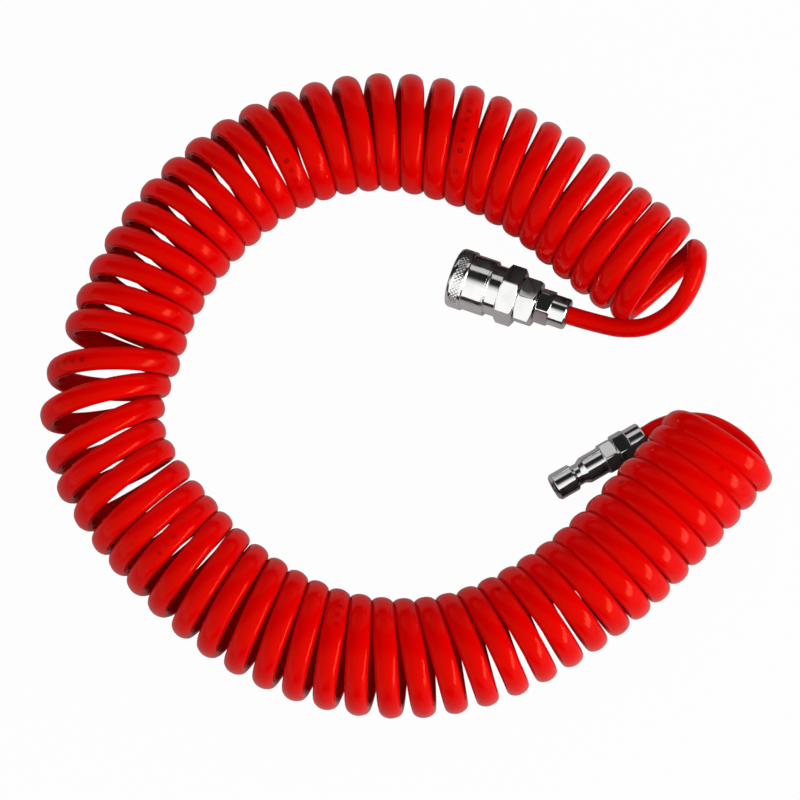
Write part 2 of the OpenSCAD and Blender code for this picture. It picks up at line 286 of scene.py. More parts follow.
@dataclass(frozen=True)
class HoseFinish:
    """Glossy coloured polyurethane with the faint marks of its making.

    The plastic is a little uneven in clouds, and in streaks that are drawn out along the
    tube. Waves are counted per metre, and depths of the surface are in metres.
    """

    colour: Colour = (0.78, 0.0, 0.0, 1.0)
    deep: Colour = (0.665, 0.0, 0.0, 1.0)
    ink: Colour = (0.16, 0.0, 0.004, 1.0)
    highlight: Colour = (1.0, 0.16, 0.06, 1.0)
    # Painted reflection: the dark grey that glossy rays see in place of the red plastic.
    painted_reflection: Colour = (0.07, 0.07, 0.07, 1.0)
    roughness: float = 0.12
    specular: float = 0.26
    cloud_waves: float = 26.0
    cloud_deepens: float = 0.55
    cloud_dulls: float = 0.12
    streak_deepens: float = 0.25
    streak_dulls: float = 0.10
    ripple_depth: float = 0.00018
    grain_waves: float = 2600.0
    grain_depth: float = 0.000012
    print_every: float = 0.47
    print_length: float = 0.034
    print_side: float = 0.27
    print_width: float = 0.095
    print_edge: float = 0.02
    print_covers: float = 0.58
    print_dulls: float = 0.12
    dash: float = 0.0040
    # So many waves per metre give neighbouring dashes unlike wear.
    wear_waves: float = 777.0

    def make(self) -> bpy.types.Material:
        """Makes the material.

        Returns:
            The material, which reads the tube's own map: metres along and share around.
        """
        material, web = new_material("red_polyurethane")
        tube = web.add("ShaderNodeUVMap", {"uv_map": "along_and_around"})
        along = web.add("ShaderNodeSeparateXYZ", None, {0: tube})
        around = along.beside(1)
        place = web.place()
        cloud = web.noise(place, self.cloud_waves, 3.0)
        streak = web.noise(web.vector(along * 3.0, around * 9.0), 2.0, 4.0)
        ripple = web.noise(web.vector(along * 60.0, around * 6.0), 1.0, 2.0)
        mark = self._print(web, along, around)

        base = web.blend(cloud.step(0.35, 0.72) * self.cloud_deepens, self.colour, self.deep)
        base = web.blend(streak.step(0.5, 0.8) * self.streak_deepens, base, self.deep)
        base = web.blend(mark * self.print_covers, base, self.ink)
        rough = self.roughness + (cloud - 0.5) * self.cloud_dulls
        rough = rough + streak.step(0.55, 0.85) * self.streak_dulls + mark * self.print_dulls
        normal = web.bump(ripple, self.ripple_depth)
        normal = web.bump(web.noise(place, self.grain_waves, 1.0), self.grain_depth, normal)
        plastic = web.principled(
            {
                "Base Color": base,
                "Roughness": rough,
                "Normal": normal,
                "Specular IOR Level": self.specular,
                "Specular Tint": self.highlight,
            }
        )
        # Glossy rays see the tube as a flat dark grey, a painted reflection, so the bright metal
        # mirrors it without red.
        mirrored = web.add("ShaderNodeLightPath", out="Is Glossy Ray")
        painted_reflection = web.add("ShaderNodeBsdfDiffuse", None, {"Color": self.painted_reflection})
        web.finish(web.add("ShaderNodeMixShader", None, {0: mirrored, 1: plastic, 2: painted_reflection}))
        return material

    def _print(self, web: Web, along: Wire, around: Wire) -> Wire:
        """Draws the worn print.

        Args:
            web: The web of the hose's material.
            along: Metres along the tube.
            around: The share of the way around it.

        Returns:
            1 on the print: groups of plain soft-edged dashes in one line along the tube,
            each worn by its own amount.
        """
        group = (along % self.print_every) < self.print_length
        past = along % self.dash
        share = past / self.dash
        dash = share.step(0.0, 0.18) * (1.0 - share.step(0.46, 0.64))
        edge, half = self.print_edge, self.print_width / 2
        low, high = self.print_side - half, self.print_side + half
        line = around.step(low, low + edge) * (1.0 - around.step(high - edge, high))
        wear = web.noise(web.vector((along - past) * self.wear_waves), 1.0, 1.0)
        return group * dash * line * wear.step(0.30, 0.66)


@dataclass(frozen=True)
class MetalFinish:
    """Bright plated or bare metal, turned on an axis."""

    name: str
    colour: Colour
    roughness: float
    lines: float = 0.0
    grime: float = 0.25
    dullest: float = 0.72
    cloud_waves: float = 140.0
    grain_waves: float = 1500.0
    grain_depth: float = 0.000004
    line_waves: float = 9000.0

    def make(self, axis: Vector) -> bpy.types.Material:
        """Makes the material.

        Args:
            axis: The direction of the axis that the piece was turned on.

        Returns:
            The material, with tool marks around that axis.
        """
        material, web = new_material(self.name)
        place = web.place()
        cloud = web.noise(place, self.cloud_waves, 3.0)
        grain = web.noise(place, self.grain_waves, 2.0)
        dull = (*(self.dullest * part for part in self.colour[:3]), 1.0)
        base = web.blend(cloud.step(0.42, 0.75) * self.grime, self.colour, dull)
        rough = self.roughness + cloud.step(0.45, 0.8) * 0.10 + (grain - 0.5) * 0.05
        normal = web.bump(grain, self.grain_depth)
        if self.lines:
            marks = web.noise(web.vector(place.dot(tuple(axis)) * self.line_waves), 1.0, 2.0)
            normal = web.bump(marks, self.lines, normal)
        web.finish(
            web.principled(
                {"Base Color": base, "Roughness": rough, "Metallic": 1.0, "Normal": normal}
            )
        )
        return material


@dataclass(frozen=True)
class RubberFinish:
    """Black nitrile of the seals."""

    colour: Colour = (0.018, 0.018, 0.019, 1.0)
    dust: Colour = (0.06, 0.058, 0.055, 1.0)
    roughness: float = 0.5
    cloud_waves: float = 500.0
    grain_waves: float = 3000.0
    grain_depth: float = 0.00001

    def make(self) -> bpy.types.Material:
        """Makes the material.

        Returns:
            The material, with a little dust on it.
        """
        material, web = new_material("black_nitrile")
        place = web.place()
        cloud = web.noise(place, self.cloud_waves, 3.0)
        web.finish(
            web.principled(
                {
                    "Base Color": web.blend(cloud.step(0.5, 0.8), self.colour, self.dust),
                    "Roughness": self.roughness + (cloud - 0.5) * 0.2,
                    "Normal": web.bump(web.noise(place, self.grain_waves), self.grain_depth),
                }
            )
        )
        return material


class Plating(Enum):
    """The metals of the couplings."""

    SLEEVE = MetalFinish("plated_sleeve", (0.88, 0.88, 0.87, 1.0), 0.06, lines=0.000002)
    FITTING = MetalFinish("plated_fitting", (0.86, 0.86, 0.85, 1.0), 0.07, lines=0.000003)
    PLUG = MetalFinish("plated_plug", (0.84, 0.84, 0.84, 1.0), 0.08, lines=0.000004)
    BRASS = MetalFinish("bare_brass", (0.72, 0.52, 0.22, 1.0), 0.28, lines=0.000006)
    WIRE = MetalFinish("spring_wire", (0.46, 0.46, 0.47, 1.0), 0.32, grime=0.5)
    BALL = MetalFinish("bearing_ball", (0.76, 0.76, 0.77, 1.0), 0.06, grime=0.1)


# --- Smooth lines ------------------------------------------------------------------


def clamp(value: float) -> float:
    """The value, held between 0 and 1."""
    return min(max(value, 0.0), 1.0)


def through(stations: Sequence[tuple[float, float]]) -> Callable[[float], float]:
    """A smooth function through stations.

    Args:
        stations: Pairs of a place and the value there, in rising order of place.

    Returns:
        A function of place. Beyond the ends it goes on straight.
    """
    places = [s[0] for s in stations]
    values = [s[1] for s in stations]
    count = len(stations)
    slopes = [(values[i + 1] - values[i]) / (places[i + 1] - places[i]) for i in range(count - 1)]
    bends = [slopes[0]]
    for i in range(1, count - 1):
        before = places[i] - places[i - 1]
        after = places[i + 1] - places[i]
        bends.append((after * slopes[i - 1] + before * slopes[i]) / (before + after))
    bends.append(slopes[-1])

    def value(place: float) -> float:
        """The value at one place.

        Args:
            place: The place.

        Returns:
            The value there.
        """
        if place <= places[0]:
            return values[0] + bends[0] * (place - places[0])
        if place >= places[-1]:
            return values[-1] + bends[-1] * (place - places[-1])
        i = max(k for k in range(count - 1) if places[k] <= place)
        gap = places[i + 1] - places[i]
        t = (place - places[i]) / gap
        return (
            values[i] * (1 + 2 * t) * (1 - t) ** 2
            + values[i + 1] * t * t * (3 - 2 * t)
            + bends[i] * gap * t * (1 - t) ** 2
            + bends[i + 1] * gap * t * t * (t - 1)
        )

    return value


def spline(points: Sequence[Vector], steps: int) -> list[Vector]:
    """A smooth line through points, with so many steps between two of them.

    Args:
        points: The points in order.
        steps: How many steps go from one point to the next.

    Returns:
        The line's points, with the given ones among them.
    """
    line = []
    for i in range(len(points) - 1):
        a = points[max(i - 1, 0)]
        b, c = points[i], points[i + 1]
        d = points[min(i + 2, len(points) - 1)]
        for k in range(steps):
            t = k / steps
            line.append(
                0.5
                * (
                    2 * b
                    + (c - a) * t
                    + (2 * a - 5 * b + 4 * c - d) * t**2
                    + (3 * b - a - 3 * c + d) * t**3
                )
            )
    return [*line, points[-1]]


# --- The couplings' axes -----------------------------------------------------------


@dataclass(frozen=True)
class Axis:
    """Where a coupling lies: its front end and the way from there to the hose."""

    front: Vector
    along: Vector

    @staticmethod
    def of_mount(record: dict, name: str, depth: float) -> Axis:
        """The axis of the coupling that has a mount.

        Args:
            record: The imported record.
            name: The mount's name.
            depth: How far behind the coupling's front end the mount is stated.

        Returns:
            The axis, which points from the front end to the hose.
        """
        mount = next(m for m in record["mounts"] if m["name"] == name)
        along = -Vector(mount["axis"]).normalized()
        return Axis(Vector(mount["pos_m"]) - depth * MM * along, along)

    @property
    def side(self) -> Vector:
        """The level direction square to the axis."""
        return UP.cross(self.along).normalized()

    @property
    def down(self) -> Vector:
        """The direction square to the axis and to its side."""
        return self.side.cross(self.along)

    def point(self, z: float, r: float = 0.0, turn: float = 0.0) -> Vector:
        """A point at z along the axis and r from it, in millimetres, turned by radians."""
        out = self.down * math.cos(turn) + self.side * math.sin(turn)
        return self.front + MM * (z * self.along + r * out)


# --- Turned pieces -----------------------------------------------------------------

ARC_STEPS = 5
# A rounding takes up at most this share of the line that it runs into.
LONGEST_ROUNDING = 0.48
SHORTEST_ROUNDING = 1e-4


@dataclass(frozen=True)
class Corner:
    """A corner of a turned outline: its place, its rounding and the steps to the next."""

    z: float
    r: float
    round: float = 0.0
    steps: int = 1


@dataclass(frozen=True)
class Hexagon:
    """A hexagon milled on a turned piece.

    Its ends are chamfered from a little inside the flats, which is the bite, and its edges
    are rounded. The flats run softly into what was turned.
    """

    front: float
    back: float
    flats: float
    turn: float
    chamfer: float = 1.0
    bite: float = 0.1
    edge: float = 0.45
    soft: float = 0.10

    @property
    def corner(self) -> float:
        """Radius of the sharp corner."""
        return self.flats / math.sqrt(3)

    def outline(self) -> list[Corner]:
        """The turned ends that cut the hexagon's corners off.

        Returns:
            The outline's corners, from the front to the back.
        """
        low, high = self.flats / 2 - self.bite, self.corner - self.bite
        return [
            Corner(self.front, low, steps=10),
            Corner(self.front + self.chamfer, high),
            Corner(self.back - self.chamfer, high, steps=10),
            Corner(self.back, low),
        ]

    def reach(self, turn: float) -> float:
        """How far the hexagon reaches in one direction, with its edges rounded.

        Args:
            turn: The direction, in radians around the axis.

        Returns:
            Its radius there.
        """
        half_side = math.pi / 6
        centre = (self.flats / 2 - self.edge) / math.cos(half_side)
        limit = math.atan2(self.edge / 2, centre + self.edge * math.cos(half_side))
        off = (turn - math.radians(self.turn) + half_side) % (2 * half_side) - half_side
        if abs(off) < limit:
            rest = math.sqrt(self.edge**2 - (centre * math.sin(off)) ** 2)
            return centre * math.cos(off) + rest
        return self.flats / 2 / math.cos(half_side - abs(off))

    def shape(self, z: float, r: float, turn: float) -> float:
        """The radius that is left of r once the flats are milled."""
        flat = self.reach(turn)
        return 0.5 * (r + flat - math.sqrt((r - flat) ** 2 + self.soft**2))

    def columns(self) -> list[float]:
        """Directions that catch the rounded edges, around the whole hexagon.

        Returns:
            The directions, in radians.
        """
        # Degrees from an edge, close together where it is rounded, to the middle of a flat.
        half = [0.0, 0.4, 0.8, 1.2, 1.7, 2.4, 4.0, 6.5, 10.0, 14.0, 19.0, 24.5]
        offsets = sorted({s * h for h in half for s in (-1, 1)} | {30.0})
        turns = [self.turn + 60 * k + offset for k in range(6) for offset in offsets]
        return [math.radians(turn) for turn in turns]


def rounded(corners: Sequence[Corner]) -> list[tuple[float, float]]:
    """A closed outline with its corners rounded.

    Args:
        corners: The corners in order, the last joined to the first.

    Returns:
        The outline's points, as places along the axis and radii.
    """
    arcs = []
    for i, corner in enumerate(corners):
        here = Vector((corner.z, corner.r))
        before, after = corners[i - 1], corners[(i + 1) % len(corners)]
        back = Vector((before.z, before.r)) - here
        on = Vector((after.z, after.r)) - here
        cut = corner.round
        if cut:
            half = back.angle(on) / 2
            longest = LONGEST_ROUNDING * min(back.length, on.length)
            cut = min(cut / math.tan(half), longest)
        if cut < SHORTEST_ROUNDING:
            arcs.append([here])
            continue
        start, end = here + cut * back.normalized(), here + cut * on.normalized()
        shares = [k / ARC_STEPS for k in range(ARC_STEPS + 1)]
        arcs.append([start * (1 - t) ** 2 + here * 2 * t * (1 - t) + end * t**2 for t in shares])
    points = []
    for i, arc in enumerate(arcs):
        points += arc
        ahead = arcs[(i + 1) % len(arcs)][0]
        steps = corners[i].steps
        points += [arc[-1].lerp(ahead, k / steps) for k in range(1, steps)]
    return [(p.x, p.y) for p in points]


def even_columns(count: int) -> list[float]:
    """So many directions at even steps around an axis."""
    return [2 * math.pi * k / count for k in range(count)]


def turned_piece(
    name: str,
    axis: Axis,
    corners: Sequence[Corner],
    columns: Sequence[float],
    shape: Callable[[float, float, float], float] | None = None,
) -> bpy.types.Object:
    """Turns a closed outline around an axis.

    Args:
        name: The piece's name.
        axis: The axis to turn it on.
        corners: The outline, along the outside to the back and through the bore again.
        columns: The directions around the axis that get a line of points.
        shape: What changes a point's radius by place, radius and direction.

    Returns:
        The new piece, closed and smooth.
    """
    mesh = bmesh.new()
    grid = []
    for z, r in rounded(corners):
        radii = [shape(z, r, turn) if shape else r for turn in columns]
        points = [axis.point(z, radius, turn) for radius, turn in zip(radii, columns)]
        grid.append([mesh.verts.new(point) for point in points])
    skin(mesh, [*grid, grid[0]])
    return piece_of(name, mesh)


def skin(
    mesh: bmesh.types.BMesh, grid: Sequence[Sequence[bmesh.types.BMVert]]
) -> list[list[bmesh.types.BMFace]]:
    """Spans a band of faces from each row of points to the next.

    Args:
        mesh: The mesh that the points are in.
        grid: The rows, each of them closed on itself.

    Returns:
        The bands of faces.
    """
    bands = []
    for near, far in zip(grid, grid[1:]):
        steps = [(k, (k + 1) % len(near)) for k in range(len(near))]
        bands.append([mesh.faces.new((near[k], near[n], far[n], far[k])) for k, n in steps])
    return bands


def cap(mesh: bmesh.types.BMesh, grid: Sequence[Sequence[bmesh.types.BMVert]]) -> None:
    """Closes both ends of a tube."""
    mesh.faces.new(grid[0])
    mesh.faces.new(grid[-1][::-1])


def piece_of(name: str, mesh: bmesh.types.BMesh) -> bpy.types.Object:
    """Makes a smooth object of a mesh, with its faces turned outwards.

    Args:
        name: The object's name.
        mesh: Its mesh, which is freed.

    Returns:
        The object, in the scene.
    """
    bmesh.ops.recalc_face_normals(mesh, faces=mesh.faces)
    for face in mesh.faces:
        face.smooth = True
    data = bpy.data.meshes.new(name)
    mesh.to_mesh(data)
    mesh.free()
    piece = bpy.data.objects.new(name, data)
    bpy.context.scene.collection.objects.link(piece)
    return piece


def settle(piece: bpy.types.Object) -> None:
    """Applies the piece's modifiers to its mesh.

    Args:
        piece: The piece, which then has none.
    """
    shown = piece.evaluated_get(bpy.context.evaluated_depsgraph_get())
    piece.data = bpy.data.meshes.new_from_object(shown)
    piece.modifiers.clear()


def weigh_normals(piece: bpy.types.Object) -> bpy.types.Object:
    """Lets large faces look flat between rounded edges.

    Args:
        piece: The piece.

    Returns:
        The same piece.
    """
    piece.modifiers.new("weighted_normals", "WEIGHTED_NORMAL")
    settle(piece)
    return piece


def milled_piece(
    name: str, axis: Axis, corners: Sequence[Corner], hexagon: Hexagon
) -> bpy.types.Object:
    """Turns a closed outline around an axis, and mills a hexagon on it."""
    return turned_piece(name, axis, corners, hexagon.columns(), hexagon.shape)


def place_piece(
    piece: bpy.types.Object, body: str, slot: str, material: bpy.types.Material, *nodes: str
) -> None:
    """Dresses a piece, and puts it on its body in the place of CAD nodes.

    Args:
        piece: The new piece.
        body: The body that it rides on.
        slot: The record's material slot; not used.
        material: What it is made of.
        nodes: The CAD nodes that it stands for.
    """
    piece.data.materials.clear()
    piece.data.materials.append(material)
    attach(piece, body)
    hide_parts(*nodes)
    log.info("%s rides on %s, %d faces", piece.name, body, len(piece.data.polygons))


# --- The hose ----------------------------------------------------------------------


@dataclass(frozen=True)
class Ring:
    """One ring of the tube: its middle, its two half axes and their directions."""

    middle: Vector
    across: Vector
    outward: Vector
    half_across: float
    half_outward: float

    def point(self, turn: float) -> Vector:
        """A point on the ring, turned by radians."""
        across = self.half_across * math.cos(turn) * self.across
        return self.middle + across + self.half_outward * math.sin(turn) * self.outward


@dataclass
class Hose:
    """The tube: a coil bent into an open ring, with a free end on each side."""

    diameter: float = 0.008
    coil_diameter: float = 0.049
    coil_half_across: float = 0.00488
    coil_half_outward: float = 0.00335
    # After the late turn the tube was pressed wider, up to this much.
    late_turn: float = 48.0
    late_spread: float = 0.00045
    length: float = 8.2
    sides: int = 22
    rings_per_turn: int = 40
    steps_per_point: int = 6
    # Each free end runs towards a place this much of a turn into the coil.
    aim: float = 1 / 12
    centre: Vector = field(default_factory=lambda: Vector((-0.0075, -0.00275, 0.0)))
    # How the coil lies in its ring, seen from above. Each line gives a turn, and for it the
    # degrees and the radius of the coil's outer edge and of its inner edge.
    coil_stations: tuple[tuple[float, float, float, float, float], ...] = (
        (0, 26.1, 0.1480, 17.2, 0.1050), (1, 31.1, 0.1473, 22.2, 0.0985),
        (2, 35.0, 0.1440, 27.6, 0.0935), (4, 43.3, 0.1400, 39.8, 0.0880),
        (6, 54.1, 0.1383, 51.4, 0.0872), (8, 64.4, 0.1385, 63.2, 0.0875),
        (10, 74.9, 0.1402, 75.2, 0.0880), (13, 92.4, 0.1410, 92.9, 0.0902),
        (16, 110.4, 0.1408, 110.2, 0.0902), (20, 133.8, 0.1398, 133.3, 0.0883),
        (23, 150.4, 0.1396, 151.2, 0.0887), (25, 162.1, 0.1403, 163.0, 0.0894),
        (26, 167.2, 0.1415, 169.0, 0.0896), (27, 176.2, 0.1460, 174.3, 0.0915),
        (28, 183.9, 0.1481, 179.0, 0.0947), (29, 191.5, 0.1473, 184.7, 0.0963),
        (30, 196.9, 0.1455, 190.2, 0.0955), (31, 202.5, 0.1423, 195.6, 0.0921),
        (32, 207.6, 0.1396, 202.6, 0.0891), (34, 217.3, 0.1360, 213.6, 0.0853),
        (37, 234.6, 0.1340, 233.4, 0.0830), (41, 258.2, 0.1345, 259.0, 0.0842),
        (45, 282.0, 0.1363, 282.2, 0.0862), (50, 309.6, 0.1382, 312.2, 0.0886),
        (53, 323.4, 0.1432, 329.7, 0.0940), (55, 331.9, 0.1480, 341.3, 0.1000),
        (57, 339.6, 0.1552, 350.6, 0.1095), (59, 346.8, 0.1636, 357.3, 0.1190),
    )  # fmt: skip
    # How far the foot of the coil leans on along it at a turn, in turns. Its top leans back as far.
    coil_lean: tuple[tuple[float, float], ...] = (
        (0, 0.0), (12, 0.0), (17, 0.09), (21, 0.09), (23, 0.06), (25.75, 0.02),
        (26.25, -0.06), (26.75, -0.02), (27.25, -0.03), (27.75, -0.04), (28.25, -0.06),
        (28.75, -0.11), (29.25, -0.08), (29.75, -0.09), (30.25, -0.09), (30.75, -0.01),
        (31.25, -0.06), (31.75, -0.11), (32.25, -0.10), (32.75, -0.05), (33.25, -0.01),
        (33.75, -0.10), (34.25, 0.03), (34.75, -0.12), (35.25, 0.02), (35.75, -0.12),
        (36.25, -0.15), (36.75, -0.05), (37.25, -0.09), (38, -0.12), (39, -0.08), (41, -0.03),
        (44, -0.06), (46, -0.08), (49, -0.06), (52, -0.02), (55, 0.0), (59, 0.0),
    )  # fmt: skip
    # The first and the last turn end just past their outer edge, where a free end begins.
    first_turn: float = 0.08
    last_turn: float = 58.92
    # The first half turn reaches this share of its way down. Then the coil settles.
    first_drop: float = 0.62
    settles_from: float = 0.25
    settles_over: float = 0.5
    # Free end from the socket to the coil, about the centre of the ring.
    socket_route: tuple[Triple, ...] = (
        (0.0900, 0.0317, 0.0220), (0.0990, 0.0296, 0.0238), (0.1083, 0.0298, 0.0265),
        (0.1164, 0.0330, 0.0305), (0.1222, 0.0380, 0.0350), (0.1259, 0.0440, 0.0395),
        (0.1282, 0.0505, 0.0422), (0.1291, 0.0560, 0.0412), (0.1298, 0.0603, 0.0372),
        (0.1303, 0.0627, 0.0300),
    )  # fmt: skip
    # Free end from the plug to the coil, about the centre of the ring.
    plug_route: tuple[Triple, ...] = (
        (0.1150, -0.0112, 0.0083), (0.1216, -0.0090, 0.0085), (0.1288, -0.0084, 0.0088),
        (0.1369, -0.0095, 0.0092), (0.1444, -0.0132, 0.0100), (0.1512, -0.0190, 0.0115),
        (0.1552, -0.0255, 0.0130), (0.1570, -0.0309, 0.0155), (0.1577, -0.0350, 0.0205),
        (0.1562, -0.0364, 0.0275),
    )  # fmt: skip

    def _coil_rings(self) -> list[Ring]:
        """The rings of the coil, turn by turn.

        Returns:
            Rings from the first turn's start to the last one's end.
        """
        column = [[(row[0], row[k]) for row in self.coil_stations] for k in range(1, 5)]
        outer_angle, outer_radius, inner_angle, inner_radius = (through(c) for c in column)
        lean = through(self.coil_lean)
        rise = self.coil_diameter / 2 - self.coil_half_outward
        count = round((self.last_turn - self.first_turn) * self.rings_per_turn)
        middles, outs = [], []
        for k in range(-1, count + 2):
            turn = self.first_turn + (self.last_turn - self.first_turn) * k / count
            phase = 2 * math.pi * turn
            settled = clamp((turn - self.settles_from) / self.settles_over)
            fall = rise * (self.first_drop + (1 - self.first_drop) * settled)
            turn += lean(turn) * math.sin(phase)
            outer = self._flat(outer_angle(turn), outer_radius(turn))
            inner = self._flat(inner_angle(turn), inner_radius(turn))
            out = (outer - inner).normalized()
            reach = (outer - inner).length / 2 - self.coil_half_outward
            middle = (outer + inner) / 2 + self.coil_diameter / 2 * UP
            middles.append(middle + reach * math.cos(phase) * out - fall * math.sin(phase) * UP)
            outs.append((fall * math.cos(phase) * out - reach * math.sin(phase) * UP).normalized())
        rings = self._rings(middles, outs, self.coil_half_across, self.coil_half_outward)[1:-1]
        late = count * self.late_turn / self.last_turn
        pressed = [clamp(2 * (k - late) / (count - late)) for k in range(count + 1)]
        return [
            replace(ring, half_across=ring.half_across + self.late_spread * share)
            for ring, share in zip(rings, pressed)
        ]

    def _flat(self, degrees: float, radius: float) -> Vector:
        """A point on the floor, by its direction and distance from the ring's centre."""
        turn = math.radians(degrees)
        return self.centre + radius * Vector((math.cos(turn), math.sin(turn), 0))

    def _rings(
        self, middles: Sequence[Vector], outs: Sequence[Vector], across: float, outward: float
    ) -> list[Ring]:
        """Rings square to the line through their middles.

        Args:
            middles: The middles of the rings, in order.
            outs: For each ring, roughly the direction of its outward half axis.
            across: Half of a ring's size along the coil.
            outward: Half of its size away from the coil's middle.

        Returns:
            The rings.
        """
        rings = []
        for i, middle in enumerate(middles):
            tangent = middles[min(i + 1, len(middles) - 1)] - middles[max(i - 1, 0)]
            tangent.normalize()
            out = (outs[i] - outs[i].dot(tangent) * tangent).normalized()
            rings.append(Ring(middle, tangent.cross(out), out, across, outward))
        return rings

    def _tail_rings(
        self, nut_end: Sequence[Vector], route: Sequence[Triple], coil: Sequence[Ring]
    ) -> list[Ring]:
        """The rings of a free end.

        Args:
            nut_end: Two points on the coupling's axis, from inside its nut outwards.
            route: The points between the nut and the coil, about the ring's centre.
            coil: The coil's rings, from the one that this end joins.

        Returns:
            Rings from the nut to just before the coil, round at the nut and as oval as
            the coil at its end.
        """
        points = [*nut_end, *(self.centre + Vector(p) for p in route)]
        ahead = coil[round(self.aim * self.rings_per_turn)].middle
        line = spline([*points, coil[0].middle, ahead], self.steps_per_point)
        middles = line[: len(points) * self.steps_per_point + 1]
        outs = [coil[0].outward]
        for i in range(len(middles) - 1, 0, -1):
            tangent = (middles[i - 1] - middles[i]).normalized()
            outs.append((outs[-1] - outs[-1].dot(tangent) * tangent).normalized())
        half = self.diameter / 2
        rings = self._rings(middles, outs[::-1], half, half)[:-1]
        shaped = []
        for i, ring in enumerate(rings):
            share = i / len(rings)
            share = share * share * (3 - 2 * share)
            across = half + share * (self.coil_half_across - half)
            outward = half + share * (self.coil_half_outward - half)
            shaped.append(replace(ring, half_across=across, half_outward=outward))
        return shaped

    def _mesh(self, rings: Sequence[Ring]) -> bpy.types.Object:
        """The closed tube through the rings, with its map of metres along and share around.

        Args:
            rings: The rings, in order.

        Returns:
            The tube as a new piece.
        """
        mesh = bmesh.new()
        chart = mesh.loops.layers.uv.new("along_and_around")
        turns = even_columns(self.sides)
        grid = [[mesh.verts.new(ring.point(turn)) for turn in turns] for ring in rings]
        run = 0.0
        for i, band in enumerate(skin(mesh, grid)):
            step = (rings[i + 1].middle - rings[i].middle).length
            for k, face in enumerate(band):
                near, far = k / self.sides, (k + 1) / self.sides
                charted = ((run, near), (run, far), (run + step, far), (run + step, near))
                for loop, uv in zip(face.loops, charted):
                    loop[chart].uv = uv
            run += step
        cap(mesh, grid)
        return piece_of("hose", mesh)

    def build(
        self,
        socket: Sequence[Vector],
        plug: Sequence[Vector],
        leaves_at: Vector,
        ends: Sequence[bpy.types.Object],
    ) -> bpy.types.Object:
        """Args:
            socket: Two points on the socket's axis, inside its nut and behind it.
            plug: The same on the plug's axis.
            leaves_at: Where the hose leaves the socket's nut; not used.
            ends: The pieces of the plug; not used.

        Returns:
            The hose.
        """
        coil = self._coil_rings()
        first = self._tail_rings(socket, self.socket_route, coil)
        last = self._tail_rings(plug, self.plug_route, coil[::-1])
        flipped = [replace(ring, across=-ring.across) for ring in last]
        rings = [*first, *coil, *flipped[::-1]]
        hose = self._mesh(rings)
        nodes = ("hose_coil", "socket_tail", "plug_tail")
        place_piece(hose, "hose", "hose_polyurethane", HoseFinish().make(), *nodes)
        path = [ring.middle for ring in rings]
        run = sum((b - a).length for a, b in zip(path, path[1:]))
        log.info("the hose is %.3f m long, in %d rings", run, len(rings))
        tuple(leaves_at)
        [tuple(p) for p in path]
        list(ends)
        return hose


# --- The couplings -----------------------------------------------------------------


@dataclass
class HoseNut:
    """The nut that clamps the tube on a coupling's tail."""

    flats: float = 14.0
    hex_length: float = 6.4
    tail_diameter: float = 13.6
    tail_length: float = 7.2
    gap: float = 0.3
    thread_diameter: float = 11.4
    tube_start: float = 6.0
    cone: float = 1.6
    tube_bore: float = 8.3
    # Behind the nut the tube keeps to the axis this far.
    lead: float = 2.0

    @property
    def back(self) -> float:
        """The nut's back end behind the hexagon that it stands at."""
        return self.gap + self.hex_length + self.tail_length

    def tube_line(self, axis: Axis, face: float) -> list[Vector]:
        """Where the tube starts in a nut that stands at a hexagon's face, and where it bends."""
        return [axis.point(face + z) for z in (self.tube_start, self.back + self.lead)]

    def build(self, name: str, axis: Axis, face: float, turn: float) -> bpy.types.Object:
        """Makes the nut.

        Args:
            name: The piece's name.
            axis: The coupling's axis.
            face: Where the hexagon in front of the nut ends.
            turn: The turn of the nut's hexagon.

        Returns:
            The nut.
        """
        front = face + self.gap
        back = face + self.back
        tail = self.tail_diameter / 2
        thread = self.thread_diameter / 2
        tube = self.tube_bore / 2
        hexagon = Hexagon(front, front + self.hex_length, self.flats, turn, chamfer=0.6, edge=0.3)
        corners = [
            *hexagon.outline(),
            Corner(hexagon.back, tail, 0.1),
            Corner(back - 0.6, tail, 0.4, steps=2),
            Corner(back, tail - 0.6, 0.25),
            Corner(back, tube + 0.25, 0.15),
            Corner(back - 0.3, tube),
            Corner(face + self.tube_start + self.cone, tube),
            Corner(face + self.tube_start, thread),
            Corner(front, thread, 0.2),
        ]
        return weigh_normals(milled_piece(name, axis, corners, hexagon))


@dataclass
class HoseTail:
    """The nut's thread behind a coupling's last hexagon, and the barbed tail in the tube."""

    thread_diameter: float = 11.2
    thread_length: float = 5.2
    diameter: float = 5.4
    length: float = 13.0
    airway: float = 3.4
    barbs: int = 3
    barb_start: float = 1.5
    barb_pitch: float = 2.0
    barb_height: float = 0.25

    def outline(self, face: float) -> list[Corner]:
        """The outline from a hexagon's face to the airway at the tail's end.

        Args:
            face: Where the hexagon ends.

        Returns:
            The outline's corners.
        """
        thread, tail = self.thread_diameter / 2, self.diameter / 2
        end, back = face + self.thread_length, face + self.length
        corners = [
            Corner(face, thread - 0.3),
            Corner(face + 0.3, thread),
            Corner(end - 0.6, thread),
            Corner(end, thread - 0.6),
            Corner(end, tail),
        ]
        for k in range(self.barbs):
            barb = end + self.barb_start + self.barb_pitch * k
            corners += [Corner(barb, tail), Corner(barb, tail + self.barb_height)]
        return [*corners, Corner(back, tail - 0.3, 0.1), Corner(back, self.airway / 2)]


